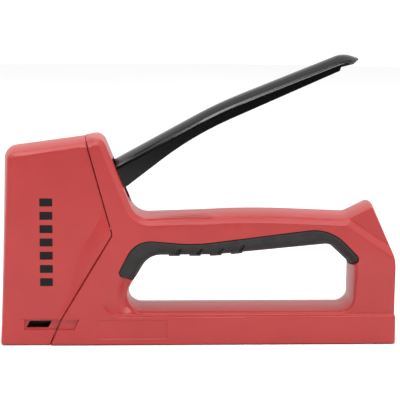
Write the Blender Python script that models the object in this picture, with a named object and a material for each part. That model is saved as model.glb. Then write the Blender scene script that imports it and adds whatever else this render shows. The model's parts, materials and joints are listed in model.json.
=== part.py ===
"""A hand staple gun: a red clamshell housing with a closed grip, a squeeze lever and its spring mechanism.

+X points from the nose to the rear, +Y to the right-hand side and +Z up. The origin is on the ground
under the middle of the housing. Sizes are in millimetres and become metres when a mesh is made.
"""

import math

import bmesh
import bpy
from mathutils import Matrix, Vector

MM = 0.001
GAP = 0.3  # between pieces that touch
PLAY = 0.4  # beside a piece that moves
REACH = 20.0  # how far a cutter runs past what it cuts
ARC_STEP = 22.0  # degrees of arc between two points of an outline
LEAST_RADIUS = 0.2
LONG_CURVE = 100.0  # radius past which a corner is a gentle curve, with more points

# Housing: overall sizes
LENGTH = 190.0
WIDTH = 30.0
HEAD_HEIGHT = 100.4
GRIP_HEIGHT = 64.8  # top of the grip
RAIL_HEIGHT = 17.6  # floor of the hand opening
WALL = 2.2
EDGE_INSET = 4.3  # width of the sloped edges, seen from the side
EDGE_DEPTH = 2.7  # how far back those edges start from the side face
CROWN = 1.6  # rise of the top faces towards the seam
BASE_INSET = 0.6  # the base rail's edges are nearly square
BASE_HEIGHT = 13.5

# Rubber grip
RUBBER_PROUD = 0.2
RUBBER_SIDE = 1.0
RUBBER_UNDER = 2.2

# Lever and its arms
LEVER_WIDTH = 18.0
LEVER_SHEET = 1.6
LEVER_PIVOT_BACK = 51.0  # from the nose
LEVER_PIVOT_DOWN = 20.4  # from the head's top
LIFT_ARM = 21.9  # pivot to lift pin, along X
LIFT_DROP = 10.5  # pivot to lift pin, along Z
PIVOT_RADIUS = 3.0
LIFT_PIN_RADIUS = 1.6
ROLLER_RADIUS = 3.0

# Plunger, main spring and blade
BLADE_BACK = 6.1  # nose to the blade's front face
BLADE_SHEET = 1.0
BLADE_WIDTH = 10.0
BLADE_BOTTOM = 1.0
SPRING_OUTER = 13.0
SPRING_WIRE = 2.2
SPRING_TURNS = 9
SEAT_BOTTOM = 43.8
SEAT_THICK = 3.0
PLUNGER_PLATE = 1.5

# Magazine
CHANNEL_WIDTH = 13.8
CHANNEL_SHEET = 0.9
CHANNEL_BOTTOM = 0.3
CHANNEL_TOP = 11.2
CORE_WIDTH = 8.8
CORE_TOP = 8.3
PUSHER_LENGTH = 16.0
ROD_RADIUS = 0.85
ROD_SPRING_OUTER = 3.5
ROD_SPRING_WIRE = 0.6

# Screws
SCREW_RADIUS = 1.5
SCREW_HEAD_RADIUS = 2.8
SCREW_HEAD_THICK = 2.0
BOSS_WALL = 1.1

HALF = WIDTH / 2
INSIDE = HALF - WALL  # half the width of the hollow


def front(back):
    """X of a place this far behind the nose."""
    return back - LENGTH / 2


def rear(ahead):
    """X of a place this far ahead of the rear end."""
    return LENGTH / 2 - ahead


def down(drop):
    """Z of a place this far below the head's top."""
    return HEAD_HEIGHT - drop


PIVOT_X = front(LEVER_PIVOT_BACK)
PIVOT_Z = down(LEVER_PIVOT_DOWN)
LIFT_X = PIVOT_X - LIFT_ARM
LIFT_Z = PIVOT_Z - LIFT_DROP


# Outlines in the XZ plane. A corner is (x, z, radius).


def housing_corners():
    grip = GRIP_HEIGHT
    return [
        (front(0), 0, 1.5),
        (rear(0), 0, 0.8),
        (rear(0), BASE_HEIGHT, 0),
        (rear(0.5), BASE_HEIGHT + 0.5, 0),
        (rear(0.4), grip - 23.8, 14),
        (rear(11.8), grip + 3.4, 2.2),
        (rear(24.5), grip - 2.3, 6),
        ((front(70) + rear(24.5)) / 2, grip + 0.5, 380),
        (front(65.3), grip - 3.5, 9),
        (front(49.4), down(0), 6),
        (front(40.8), down(0.6), 30),
        (front(2.4), down(5.9), 6),
    ]


def opening_corners():
    grip = GRIP_HEIGHT
    return [
        (front(56.6), RAIL_HEIGHT, 6.5),
        (rear(22.3), RAIL_HEIGHT, 5),
        (rear(22.3), grip - 26.5, 4),
        (rear(32), grip - 17.4, 5),
        (front(103), grip - 22.7, 60),
        (front(71.2), grip - 22.8, 10),
    ]


def rubber_corners():
    grip = GRIP_HEIGHT
    return [
        (front(65), grip - 34.1, 0),
        (front(75), grip - 32.8, 0),
        (rear(35), grip - 28.8, 0),
        (rear(22.8), grip - 27.4, 0),
        (rear(17.7), grip - 23.6, 2.5),
        (rear(32.7), grip - 8, 22),
        (front(93), grip - 16.1, 80),
        (front(64.5), grip - 13.8, 12),
        (front(56.1), grip - 30.6, 2),
    ]


def nose_corners():
    """Everything ahead of the slanted parting line between the front cover and the body."""
    return [
        (front(-REACH), -REACH, 0),
        (front(15), -REACH, 0),
        (front(29.6), BASE_HEIGHT, 20),
        (front(53.5), down(46.7), 3),
        (front(40.6), down(0), 0),
        (front(35), down(-REACH), 0),
        (front(-REACH), down(-REACH), 0),
    ]


def lever_corners():
    """The whole side view of the lever: grip part, pivot eye and lift arm."""
    return [
        (front(60.2), PIVOT_Z - 4.1, 3),
        (front(92), PIVOT_Z + 20.5, 250),
        (rear(23.2), PIVOT_Z + 53.7, 0),
        (rear(17.4), PIVOT_Z + 56.2, 0.8),
        (rear(26.5), PIVOT_Z + 59.2, 12),
        (front(103), PIVOT_Z + 34.7, 200),
        (front(53), PIVOT_Z + 7.2, 3),
        (PIVOT_X - 4, PIVOT_Z + 7.5, 6),
        (LIFT_X - 5.1, LIFT_Z + 2, 4),
        (LIFT_X - 0.6, LIFT_Z - 4.9, 4),
        (PIVOT_X + 4, PIVOT_Z - 7.5, 5),
    ]


def corners_inside(corners, inward):
    """The corners moved inwards by a distance, or by one for each corner, with their radii to match."""
    distances = inward if isinstance(inward, list) else [inward] * len(corners)
    moved = []
    for index, (x, z, radius) in enumerate(corners):
        corner = Vector((x, z))
        along_last = (corner - Vector(corners[index - 1][:2])).normalized()
        along_next = (Vector(corners[(index + 1) % len(corners)][:2]) - corner).normalized()
        inner = Vector((-along_last.y - along_next.y, along_last.x + along_next.x)).normalized()
        reach = distances[index] / inner.dot(Vector((-along_last.y, along_last.x)))
        place = corner + inner * reach
        convex = along_last.cross(along_next) > 0
        if radius:
            radius = max(LEAST_RADIUS, radius - distances[index] * (1 if convex else -1))
        moved.append((place.x, place.y, radius))
    return moved


def turn_steps(corners, index):
    """How many steps the arc at a corner takes, which is the same however far the outline is moved."""
    corner = Vector(corners[index][:2])
    along_last = corner - Vector(corners[index - 1][:2])
    along_next = Vector(corners[(index + 1) % len(corners)][:2]) - corner
    least = 4 if corners[index][2] > LONG_CURVE else 2
    return max(least, math.ceil(math.degrees(along_last.angle(along_next)) / ARC_STEP))


def rounded(corners, inward=0.0):
    """The outline of the corners, moved inwards, with each corner rounded by an arc."""
    step_counts = [turn_steps(corners, index) for index in range(len(corners))]
    corners = corners_inside(corners, inward)
    points = []
    for index, (x, z, radius) in enumerate(corners):
        corner = Vector((x, z))
        if not radius:
            points.append(corner)
            continue
        to_last = Vector(corners[index - 1][:2]) - corner
        to_next = Vector(corners[(index + 1) % len(corners)][:2]) - corner
        room = 0.48 * min(to_last.length, to_next.length)
        to_last.normalize()
        to_next.normalize()
        half = to_last.angle(to_next) / 2
        reach = min(radius / math.tan(half), room)
        radius = reach * math.tan(half)
        centre = corner + (to_last + to_next).normalized() * radius / math.sin(half)
        spoke = corner + to_last * reach - centre
        turn = math.pi - 2 * half
        steps = step_counts[index]
        if to_last.cross(to_next) > 0:
            turn = -turn
        points += [centre + Matrix.Rotation(turn * k / steps, 2) @ spoke for k in range(steps + 1)]
    return points


# Meshes


def material(name, colour, roughness, metallic=0.0):
    made = bpy.data.materials.get(name)
    if made is None:
        made = bpy.data.materials.new(name)
        made.use_nodes = True
        shader = made.node_tree.nodes["Principled BSDF"]
        shader.inputs["Base Color"].default_value = (*colour, 1.0)
        shader.inputs["Roughness"].default_value = roughness
        shader.inputs["Metallic"].default_value = metallic
    return made


def red_plastic():
    return material("red_plastic", (0.53, 0.06, 0.065), 0.42)


def rubber():
    return material("rubber", (0.075, 0.07, 0.07), 0.8)


def black_paint():
    return material("black_paint", (0.01, 0.01, 0.012), 0.18, 0.2)


def black_plastic():
    return material("black_plastic", (0.02, 0.02, 0.022), 0.5)


def steel():
    return material("steel", (0.55, 0.56, 0.58), 0.3, 1.0)


def spring_steel():
    return material("spring_steel", (0.4, 0.4, 0.42), 0.35, 1.0)


def finish(name, mesh_data, look, origin=(0, 0, 0)):
    """Make an object of a bmesh in millimetres, with its origin at that point."""
    bmesh.ops.recalc_face_normals(mesh_data, faces=mesh_data.faces)
    bmesh.ops.translate(mesh_data, verts=mesh_data.verts, vec=-Vector(origin))
    bmesh.ops.scale(mesh_data, verts=mesh_data.verts, vec=(MM, MM, MM))
    mesh = bpy.data.meshes.new(name)
    mesh_data.to_mesh(mesh)
    mesh_data.free()
    made = bpy.data.objects.new(name, mesh)
    made.location = Vector(origin) * MM
    bpy.context.scene.collection.objects.link(made)
    if look is None:
        made.hide_render = True
        made.display_type = "WIRE"
    else:
        mesh.materials.append(look())
    return made


def loft(name, levels, look=None, origin=(0, 0, 0)):
    """A solid through outlines of equally many points, each at its own Y."""
    data = bmesh.new()
    rings = [[data.verts.new((p.x, y, p.y)) for p in points] for y, points in levels]
    count = len(rings[0])
    data.faces.new(rings[0])
    data.faces.new(rings[-1][::-1])
    for low, high in zip(rings, rings[1:]):
        for k in range(count):
            data.faces.new((low[k], high[k], high[(k + 1) % count], low[(k + 1) % count]))
    return finish(name, data, look, origin)


def prism(name, points, low, high, look=None, origin=(0, 0, 0)):
    """An outline in XZ extruded from one Y to another."""
    return loft(name, [(low, points), (high, points)], look, origin)


def box(name, x, y, z, look=None, origin=(0, 0, 0)):
    """A box from (low, high) along each axis."""
    corners = [Vector((x[0], z[0])), Vector((x[1], z[0])), Vector((x[1], z[1])), Vector((x[0], z[1]))]
    return prism(name, corners, y[0], y[1], look, origin)


def aimed(start, end):
    """The matrix that puts +Z along start to end, at start."""
    along = Vector(end) - Vector(start)
    return Matrix.Translation(start) @ along.to_track_quat("Z", "Y").to_matrix().to_4x4()


def turned(name, start, end, profile, look=None, sides=20, origin=(0, 0, 0)):
    """A closed profile of (radius, distance along) turned round the line from start to end."""
    place = aimed(start, end)
    data = bmesh.new()
    rings = []
    for side in range(sides):
        turn = Matrix.Rotation(2 * math.pi * side / sides, 4, "Z")
        rings.append([data.verts.new(place @ turn @ Vector((r, 0, h))) for r, h in profile])
    for side in range(sides):
        near, far = rings[side], rings[(side + 1) % sides]
        for k in range(len(profile)):
            m = (k + 1) % len(profile)
            data.faces.new((near[k], near[m], far[m], far[k]))
    bmesh.ops.remove_doubles(data, verts=data.verts, dist=1e-5)
    bmesh.ops.dissolve_degenerate(data, edges=data.edges, dist=1e-5)
    return finish(name, data, look, origin)


def rod(name, start, end, radius, look=None, sides=20, origin=(0, 0, 0)):
    """A solid round bar."""
    place = aimed(start, end)
    length = (Vector(end) - Vector(start)).length
    data = bmesh.new()
    bmesh.ops.create_cone(
        data,
        cap_ends=True,
        segments=sides,
        radius1=radius,
        radius2=radius,
        depth=length,
        matrix=place @ Matrix.Translation((0, 0, length / 2)),
    )
    return finish(name, data, look, origin)


def tube(name, start, end, outer, inner, look=None, sides=20, origin=(0, 0, 0)):
    """A round bar with a hole through it."""
    length = (Vector(end) - Vector(start)).length
    profile = [(inner, 0), (outer, 0), (outer, length), (inner, length)]
    return turned(name, start, end, profile, look, sides, origin)


def coil(name, start, end, outer, wire, turns, look, steps=14, sides=6):
    """A helical spring between two points on its axis, with its end turns closed up."""
    place = aimed(start, end)
    length = (Vector(end) - Vector(start)).length
    mean = (outer - wire) / 2
    count = round(turns * steps)
    data = bmesh.new()
    rings = []
    for k in range(count + 1):
        angle = 2 * math.pi * k / steps
        share = k / count
        height = wire / 2 + (length - wire) * (share - 0.6 * math.sin(4 * math.pi * share) / (4 * math.pi))
        spoke = Vector((math.cos(angle), math.sin(angle), 0))
        ring = []
        for side in range(sides):
            tilt = 2 * math.pi * (side + 0.5) / sides
            offset = spoke * (mean + wire / 2 * math.cos(tilt))
            ring.append(data.verts.new(place @ (offset + Vector((0, 0, height + wire / 2 * math.sin(tilt))))))
        rings.append(ring)
    data.faces.new(rings[0])
    data.faces.new(rings[-1][::-1])
    for low, high in zip(rings, rings[1:]):
        for k in range(sides):
            data.faces.new((low[k], high[k], high[(k + 1) % sides], low[(k + 1) % sides]))
    return finish(name, data, look)


def combine(target, other, operation):
    """A Boolean of the target with a helper, which is hidden."""
    other.hide_render = True
    other.display_type = "WIRE"
    modifier = target.modifiers.new(other.name, "BOOLEAN")
    modifier.operation = operation
    modifier.solver = "EXACT"
    modifier.object = other


def cut(target, *cutters):
    for cutter in cutters:
        combine(target, cutter, "DIFFERENCE")


def join(target, *others):
    for other in others:
        combine(target, other, "UNION")


def across(name, x, z, radius, reach, look=None, sides=20):
    """A round bar along Y through (x, z), as long each way as reach."""
    return rod(name, (x, -reach, z), (x, reach, z), radius, look, sides)


# Places that several pieces share

BLADE_REAR = front(BLADE_BACK + BLADE_SHEET)
SPRING_X = BLADE_REAR + PLAY + SPRING_OUTER / 2
SEAT_TOP = SEAT_BOTTOM + SEAT_THICK
CAP_RADIUS = SPRING_OUTER / 2 + 0.2
CAP_THICK = 1.5
CHANNEL_INSIDE = CHANNEL_WIDTH / 2 - CHANNEL_SHEET
FLOOR_TOP = CHANNEL_BOTTOM + CHANNEL_SHEET
CORE_BOTTOM = FLOOR_TOP + GAP
CORE_INSIDE = CORE_WIDTH / 2 - CHANNEL_SHEET
CORE_ROOF = CORE_TOP - CHANNEL_SHEET
ROD_Z = (CORE_BOTTOM + CORE_ROOF) / 2
CHANNEL_REAR = rear(3.4)
CORE_REAR = CHANNEL_REAR - 3.0
LEVER_INSIDE = LEVER_WIDTH / 2 - LEVER_SHEET
BOSS_RADIUS = SCREW_HEAD_RADIUS + PLAY + BOSS_WALL
NOSE_SCREWS = [(front(37), down(9.1)), (front(33), 30)]
BODY_SCREWS = [
    (front(59.5), GRIP_HEIGHT - 7.3),
    (front(99), GRIP_HEIGHT - 8.3),
    (rear(29), GRIP_HEIGHT - 8.3),
    (rear(10.5), 24),
    (front(48), 22),
]


def ceiling(x):
    """Z of the hollow's ceiling in the front part of the head."""
    slope = 5.3 / 38.4
    return down(5.9) + slope * (x - front(2.4)) - WALL * math.hypot(1, slope)


CAP_TOP = ceiling(SPRING_X - CAP_RADIUS) - 2 * GAP
SPRING_TOP = CAP_TOP - CAP_THICK - GAP


# Housing


def hollow_ring():
    """The housing's inside: a ring round the hand opening."""
    ring = prism("hollow_ring", rounded(housing_corners(), WALL), -INSIDE, INSIDE)
    keep_off = RUBBER_UNDER + GAP + 2.0
    island = prism("hollow_island", rounded(opening_corners(), -keep_off), -REACH, REACH)
    cut(ring, island)
    return ring


def rubber_form(name, zone, half_width, side, under, look=None):
    """The rubber's shape: the zone's full width, round a core that stays behind the opening's edge."""
    form = prism(name, zone, -half_width, half_width, look)
    core = prism(name + "_core", rounded(rubber_corners(), -REACH / 4), -side, side)
    cut(core, prism(name + "_lining", rounded(opening_corners(), -under), -REACH, REACH))
    cut(form, core)
    return form


def rubber_seat():
    """What the shells give up to the rubber: a shallow recess on each side and a strip under the grip."""
    zone = rounded(rubber_corners(), -GAP)
    side = HALF + RUBBER_PROUD - RUBBER_SIDE - GAP
    return rubber_form("rubber_seat", zone, REACH, side, RUBBER_UNDER + GAP)


def make_rubber_grip():
    """The sleeve lies on the sides of the grip and lines the top of the hand opening."""
    half = HALF + RUBBER_PROUD
    zone = rounded(rubber_corners())
    grip = rubber_form("rubber_grip", zone, half, half - RUBBER_SIDE, RUBBER_UNDER, rubber)
    cut(grip, prism("rubber_opening", rounded(opening_corners()), -REACH, REACH))


def base_slots():
    """The way out underneath for the channel and nose plate, and behind for the magazine."""
    side = CHANNEL_WIDTH / 2 + GAP
    return [
        box("base_slot", (front(4.2), CHANNEL_REAR + GAP), (-side, side), (-REACH, WALL + GAP)),
        box("rear_slot", (CHANNEL_REAR - GAP, rear(-REACH)), (-side, side), (-REACH, CHANNEL_TOP + 1.6)),
    ]


def rear_face(z):
    """X of the head's slanted rear face at a height."""
    (low_x, low_z, _), (high_x, high_z, _) = housing_corners()[8:10]
    return low_x + (high_x - low_x) * (z - low_z) / (high_z - low_z)


def lever_slot():
    """The way through the slanted rear face, high and low enough for the lever's whole swing."""
    side = LEVER_WIDTH / 2 + 1.0
    low = PIVOT_Z - 11.5
    high = PIVOT_Z + 12.3
    places = [(-4, low), (6, low), (6, high), (-4, high)]
    return prism("lever_slot", [Vector((rear_face(z) + x, z)) for x, z in places], -side, side)


def staple_windows():
    """On each side a shallow recess with a hole at its front end."""
    recess = [(front(11.5), 7.6), (front(35.3), 7.5), (front(37.7), 12.7), (front(11.6), 12.7)]
    hole = [(front(12.3), 8.5), (front(22.8), 8.5), (front(24.8), 11.9), (front(14.1), 11.9)]
    cutters = [prism("window_hole", [Vector(p) for p in hole], -REACH, REACH)]
    for side in (-1, 1):
        outline = [Vector(p) for p in recess]
        low, high = sorted((side * (HALF - 1.0), side * REACH))
        cutters.append(prism("window_recess", outline, low, high))
    return cutters


def half_outline(side):
    """The half housing's levels, from the seam to the side face."""
    corners = housing_corners()
    square = [z < BASE_HEIGHT + 1 or (x > rear(3) and z < GRIP_HEIGHT - 20) for x, z, _ in corners]
    levels = [(side * GAP / 2, rounded(corners))]
    for depth, distance, base_distance in ((EDGE_DEPTH, CROWN, 0.0), (0.0, EDGE_INSET, BASE_INSET)):
        inward = [base_distance if flat else distance for flat in square]
        levels.append((side * (HALF - depth), rounded(corners, inward)))
    return levels


def add_bosses(shell, side, screws):
    """Screw bosses from the side wall to the seam, with the screw's way through them."""
    for index, (x, z) in enumerate(screws):
        ends = [(x, side * GAP / 2, z), (x, side * (INSIDE + 0.8), z)]
        join(shell, rod(f"{shell.name}_boss_{index}", *ends, BOSS_RADIUS, sides=16))
        if side > 0:
            ends = [(x, -1, z), (x, HALF, z)]
            cut(shell, rod(f"{shell.name}_bore_{index}", *ends, SCREW_RADIUS + GAP, sides=16))
            ends = [(x, screw_seat() - GAP, z), (x, REACH, z)]
            cut(shell, rod(f"{shell.name}_sink_{index}", *ends, SCREW_HEAD_RADIUS + PLAY, sides=16))
        else:
            ends = [(x, 1, z), (x, -screw_seat() + 1.5 - GAP, z)]
            cut(shell, rod(f"{shell.name}_bore_{index}", *ends, SCREW_RADIUS + GAP, sides=16))


def screw_seat():
    """Y of the underside of the screws' heads."""
    return HALF - 3.2


def add_pivot_boss(shell, side):
    near = side * (LEVER_WIDTH / 2 + PLAY)
    deep = side * (INSIDE + GAP)
    ends = [(PIVOT_X, near, PIVOT_Z), (PIVOT_X, side * (INSIDE + 0.8), PIVOT_Z)]
    join(shell, rod(shell.name + "_pivot_boss", *ends, PIVOT_RADIUS + GAP + 1.8, sides=18))
    ends = [(PIVOT_X, near - side, PIVOT_Z), (PIVOT_X, deep, PIVOT_Z)]
    cut(shell, rod(shell.name + "_pivot_hole", *ends, PIVOT_RADIUS + GAP, sides=18))


def add_rib(shell, side, x, z):
    """A rib from the side wall to the magazine channel or, higher up, to the bumper."""
    low, high = sorted((side * (CHANNEL_WIDTH / 2 + GAP), side * (INSIDE + 0.8)))
    join(shell, box(f"{shell.name}_rib_{x[0]:.0f}", x, (low, high), z))


def front_cover(name, side, shared):
    shell = loft(name, half_outline(side), red_plastic)
    cut(shell, shared["hollow"], *shared["slots"], *shared["windows"])
    add_bosses(shell, side, NOSE_SCREWS)
    add_rib(shell, side, (front(19), front(20.5)), (WALL - 0.4, 6.8))
    add_rib(shell, side, (BLADE_REAR + PLAY, SPRING_X + SPRING_OUTER / 2), bumper_shelf())
    combine(shell, shared["nose"], "INTERSECT")


def body_shell(name, side, shared):
    shell = loft(name, half_outline(side), red_plastic)
    cut(shell, shared["hollow"], shared["rubber_seat"], shared["opening"])
    cut(shell, *shared["slots"], shared["lever_slot"])
    add_bosses(shell, side, BODY_SCREWS)
    add_pivot_boss(shell, side)
    for x in (front(45), front(75), 15, rear(45), rear(14)):
        add_rib(shell, side, (x, x + 1.5), (WALL - 0.4, CHANNEL_TOP))
    cut(shell, shared["behind_nose"])


def make_housing():
    shared = {
        "hollow": hollow_ring(),
        "opening": prism("hand_opening", rounded(opening_corners()), -REACH, REACH),
        "slots": base_slots(),
        "windows": staple_windows(),
        "lever_slot": lever_slot(),
        "rubber_seat": rubber_seat(),
        "nose": prism("nose_region", rounded(nose_corners(), GAP / 2), -REACH, REACH),
        "behind_nose": prism("nose_region_grown", rounded(nose_corners(), -GAP / 2), -REACH, REACH),
    }
    front_cover("front_cover_left", -1, shared)
    front_cover("front_cover_right", 1, shared)
    body_shell("body_shell_left", -1, shared)
    body_shell("body_shell_right", 1, shared)
    for index, (x, z) in enumerate(NOSE_SCREWS + BODY_SCREWS):
        make_screw(f"housing_screw_{index + 1}", x, z)


def make_screw(name, x, z):
    seat = screw_seat()
    length = 2 * seat - 2.5
    profile = [
        (0, 0),
        (SCREW_HEAD_RADIUS - 0.5, 0),
        (SCREW_HEAD_RADIUS, 0.6),
        (SCREW_HEAD_RADIUS, SCREW_HEAD_THICK),
        (SCREW_RADIUS, SCREW_HEAD_THICK),
        (SCREW_RADIUS, length + SCREW_HEAD_THICK - 1.5),
        (0, length + SCREW_HEAD_THICK),
    ]
    top = seat + SCREW_HEAD_THICK
    turned(name, (x, top, z), (x, top - 1, z), profile, steel, sides=12)


# Lever


def make_lever():
    side = LEVER_WIDTH / 2
    origin = (PIVOT_X, 0, PIVOT_Z)
    lever = prism("lever", rounded(lever_corners()), -side, side, black_paint, origin)
    under_web = rounded(lever_corners(), LEVER_SHEET)
    cut(lever, prism("lever_hollow", under_web, -LEVER_INSIDE, LEVER_INSIDE))
    below = [
        (front(0), PIVOT_Z - 40),
        (rear(25), PIVOT_Z - 40),
        (rear(25), PIVOT_Z + 55.5),
        (front(92), PIVOT_Z + 24),
        (front(56), PIVOT_Z),
        (front(54), PIVOT_Z + 40),
        (front(0), PIVOT_Z + 40),
    ]
    cut(lever, prism("lever_below", [Vector(p) for p in below], -LEVER_INSIDE, LEVER_INSIDE))
    cut(lever, across("lever_pivot_hole", PIVOT_X, PIVOT_Z, PIVOT_RADIUS + GAP, REACH))
    cut(lever, across("lever_lift_hole", LIFT_X, LIFT_Z, LIFT_PIN_RADIUS + GAP, REACH, sides=16))


def make_lever_parts():
    across("pivot_pin", PIVOT_X, PIVOT_Z, PIVOT_RADIUS, INSIDE, steel)
    sleeve = LEVER_INSIDE - GAP
    ends = [(PIVOT_X, -sleeve, PIVOT_Z), (PIVOT_X, sleeve, PIVOT_Z)]
    tube("pivot_sleeve", *ends, PIVOT_RADIUS + GAP + 1.2, PIVOT_RADIUS + GAP, steel)
    inner = PIVOT_RADIUS + GAP + 1.2 + GAP
    ends = [(PIVOT_X, -sleeve + 2, PIVOT_Z), (PIVOT_X, sleeve - 2, PIVOT_Z)]
    coil("lever_return_spring", *ends, 2 * (inner + 0.9), 0.9, 6, spring_steel, steps=16, sides=5)
    across("lift_pin", LIFT_X, LIFT_Z, LIFT_PIN_RADIUS, LEVER_WIDTH / 2 + 0.6, steel, sides=16)
    half = LEVER_INSIDE - 2 * PLAY
    ends = [(LIFT_X, -half, LIFT_Z), (LIFT_X, half, LIFT_Z)]
    origin = (LIFT_X, 0, LIFT_Z)
    tube("lift_roller", *ends, ROLLER_RADIUS, LIFT_PIN_RADIUS + GAP, steel, 24, origin)


# Plunger, blade and main spring


def bumper_shelf():
    """Z from the bottom to the top of the ribs that carry the bumper."""
    top = SEAT_BOTTOM - PLAY - 3.3 - GAP
    return (top - 3, top)


def make_plunger():
    plate_x = SPRING_X + SPRING_OUTER / 2 + 0.5
    lug_z = LIFT_Z + ROLLER_RADIUS + GAP
    half = CHANNEL_WIDTH / 2 + GAP
    plate_half = LEVER_INSIDE - 1.4
    seat_x = (BLADE_REAR + GAP, plate_x + PLUNGER_PLATE)
    plate = (plate_x, plate_x + PLUNGER_PLATE)
    plunger = box("plunger", seat_x, (-half, half), (SEAT_BOTTOM, SEAT_TOP), steel, (SPRING_X, 0, SEAT_TOP))
    join(
        plunger,
        box("plunger_plate", plate, (-plate_half, plate_half), (SEAT_TOP - 1, lug_z + 3.2)),
        box("plunger_lug", (plate_x, LIFT_X + 4.5), (-plate_half, plate_half), (lug_z, lug_z + 3.2)),
        rod("plunger_post", (SPRING_X, 0, SEAT_TOP - 1), (SPRING_X, 0, SEAT_TOP + 15), 3.0),
        box("plunger_tongue", (front(BLADE_BACK - 0.1), seat_x[0] + 1), (-2, 2), (SEAT_BOTTOM, SEAT_TOP)),
    )


def make_drive():
    make_plunger()
    half = BLADE_WIDTH / 2
    blade_x = (front(BLADE_BACK), BLADE_REAR)
    blade = box("driver_blade", blade_x, (-half, half), (BLADE_BOTTOM, SEAT_TOP + 11), steel)
    hole = (SEAT_BOTTOM - GAP, SEAT_TOP + GAP)
    cut(blade, box("blade_hole", (front(0), SPRING_X), (-2 - GAP, 2 + GAP), hole))
    ends = [(SPRING_X, 0, SEAT_TOP + GAP), (SPRING_X, 0, SPRING_TOP)]
    coil("main_spring", *ends, SPRING_OUTER, SPRING_WIRE, SPRING_TURNS, spring_steel, steps=16)
    bore = SPRING_OUTER / 2 - SPRING_WIRE - GAP
    cap = [(0, 0), (CAP_RADIUS, 0), (CAP_RADIUS, CAP_THICK), (bore, CAP_THICK), (bore, CAP_THICK + 4)]
    cap.append((0, CAP_THICK + 4))
    turned("spring_cap", (SPRING_X, 0, CAP_TOP), (SPRING_X, 0, 0), cap, black_plastic)
    shelf = bumper_shelf()[1] + GAP
    half = CHANNEL_WIDTH / 2 + 2
    bumper_x = (BLADE_REAR + PLAY, SPRING_X + SPRING_OUTER / 2)
    box("rubber_bumper", bumper_x, (-half, half), (shelf, SEAT_BOTTOM - PLAY), rubber)
    half = CHANNEL_WIDTH / 2
    plate_x = (front(BLADE_BACK - 1.5), front(BLADE_BACK - GAP))
    box("nose_plate", plate_x, (-half, half), (CHANNEL_BOTTOM, bumper_shelf()[0]), steel)


# Magazine


def make_channel():
    half = CHANNEL_WIDTH / 2
    start = front(BLADE_BACK)
    floor_start = BLADE_REAR + 1.0
    channel = box(
        "magazine_channel", (start, CHANNEL_REAR), (-half, half), (CHANNEL_BOTTOM, CHANNEL_TOP), steel
    )
    inside = (-CHANNEL_INSIDE, CHANNEL_INSIDE)
    cut(
        channel,
        box("channel_inside", (start - 1, CHANNEL_REAR + 1), inside, (FLOOR_TOP, REACH)),
        box("staple_exit", (start - 1, floor_start), inside, (-REACH, FLOOR_TOP + 1)),
        box("channel_window", (front(12), front(25.5)), (-REACH, REACH), (7.6, REACH)),
    )


def make_core():
    half = CORE_WIDTH / 2
    start = BLADE_REAR + 1.3
    core = box("core_rail", (start, CORE_REAR), (-half, half), (CORE_BOTTOM, CORE_TOP), steel)
    inside = (-CORE_INSIDE, CORE_INSIDE)
    cut(
        core,
        box("core_inside", (start - 1, CORE_REAR + 1), inside, (0, CORE_ROOF)),
        box("core_slot", (start + 3, CORE_REAR + 1), (-0.9, 0.9), (0, REACH)),
    )


def make_pusher():
    start = BLADE_REAR + 0.6
    x = (start, start + PUSHER_LENGTH)
    outer = CHANNEL_INSIDE - GAP
    inner = CORE_WIDTH / 2 + GAP
    roof = CORE_TOP + GAP
    block_x = (start + 4.1, x[1] - 0.7)
    block = CORE_INSIDE - GAP
    pusher = box("staple_pusher", x, (-outer, outer), (CORE_BOTTOM, roof + 1.2), black_plastic, (start, 0, 0))
    cut(pusher, box("pusher_inside", (x[0] - 1, x[1] + 1), (-inner, inner), (0, roof)))
    join(
        pusher,
        box("pusher_tongue", block_x, (-0.6, 0.6), (CORE_ROOF - 1, roof + 0.6)),
        box("pusher_block", block_x, (-block, block), (CORE_BOTTOM, CORE_ROOF - GAP)),
    )
    bore = ROD_SPRING_OUTER / 2 + GAP
    cut(pusher, rod("pusher_bore", (x[0], 0, ROD_Z), (x[1], 0, ROD_Z), bore, sides=16))
    return x[1]


def make_magazine():
    make_channel()
    make_core()
    pusher_rear = make_pusher()
    plug_x = CORE_REAR + GAP
    rod_end = plug_x + 2.6
    rod("pusher_rod", (front(11), 0, ROD_Z), (rod_end, 0, ROD_Z), ROD_RADIUS, steel, sides=12)
    ends = [(pusher_rear, 0, ROD_Z), (plug_x - GAP, 0, ROD_Z)]
    coil("pusher_spring", *ends, ROD_SPRING_OUTER, ROD_SPRING_WIRE, 32, spring_steel, steps=8, sides=4)
    plug = CHANNEL_INSIDE - PLAY
    plate = CHANNEL_WIDTH / 2 - 0.6
    plate_x = CHANNEL_REAR + PLAY
    plug_z = (FLOOR_TOP + PLAY, CHANNEL_TOP - PLAY)
    plate_z = (0.6, CHANNEL_TOP + 1.2)
    cap = box("magazine_cap", (plate_x, rear(0.4)), (-plate, plate), plate_z, black_plastic)
    join(cap, box("cap_plug", (plug_x, plate_x + 1), (-plug, plug), plug_z))
    cut(cap, rod("cap_bore", (plug_x - 1, 0, ROD_Z), (rod_end + GAP, 0, ROD_Z), ROD_RADIUS + GAP, sides=12))
    make_clip(plug_x - GAP, plug)


def make_clip(end, half):
    """A spring clip: two arms that press on the channel's walls, joined across the plug."""
    z = (CORE_TOP + 0.7, CHANNEL_TOP - PLAY)
    clip = box("cap_clip", (end - 14, end), (-half, half), z, spring_steel)
    cut(clip, box("clip_inside", (end - 20, end - 0.6), (0.6 - half, half - 0.6), (0, REACH)))


def clear_scene():
    for existing in list(bpy.data.objects):
        bpy.data.objects.remove(existing)


def main():
    clear_scene()
    make_housing()
    make_rubber_grip()
    make_lever()
    make_lever_parts()
    make_drive()
    make_magazine()


main()
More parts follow.
